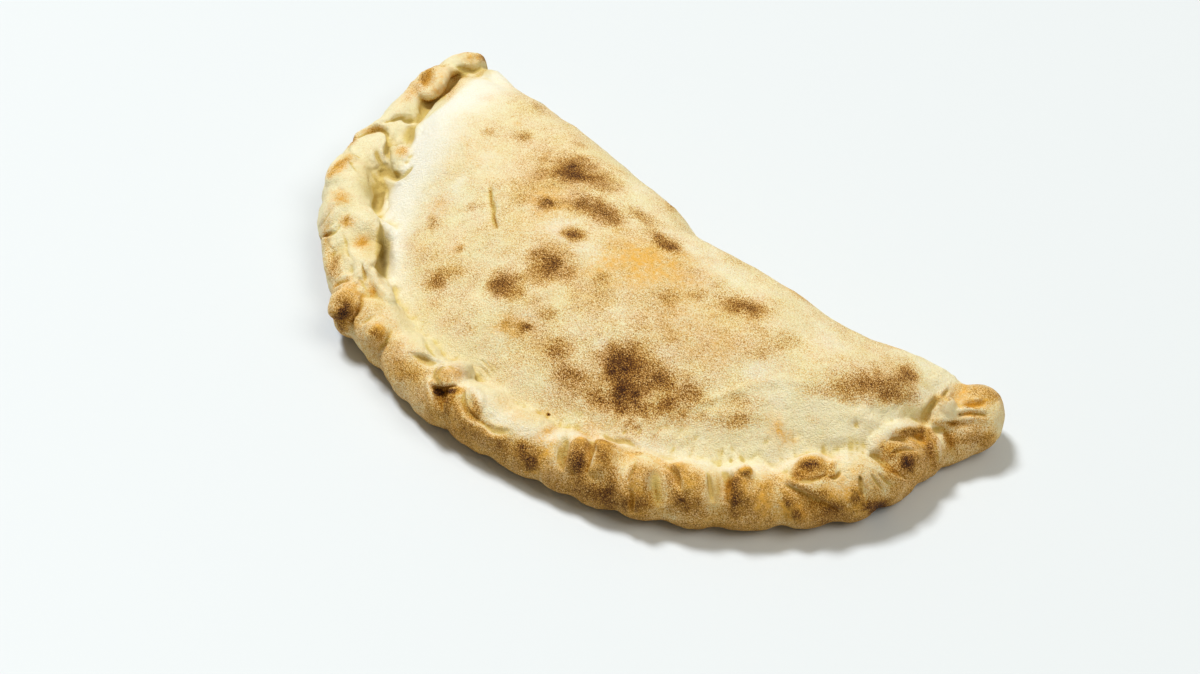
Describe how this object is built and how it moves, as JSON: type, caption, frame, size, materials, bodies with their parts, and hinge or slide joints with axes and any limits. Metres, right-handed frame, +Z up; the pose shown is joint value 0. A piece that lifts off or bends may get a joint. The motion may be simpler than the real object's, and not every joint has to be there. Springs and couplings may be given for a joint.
{
  "type": "calzone",
  "caption": "Whole baked calzone: a half-moon of folded pizza dough with a puffed top, a straight folded back edge and a rolled, pinched rim.",
  "frame": {"origin": "middle of the underside, on the surface that the calzone rests on", "axes": "+X from the left tip to the right tip along the fold, +Y towards the folded back edge, +Z up"},
  "size_m": [0.3028, 0.165, 0.0462],
  "materials": {
    "crust": "dry matte baked dough, cream to golden brown, with dark scorched blisters"
  },
  "bodies": {
    "root": {"calzone": "crust"}
  },
  "joints": []
}
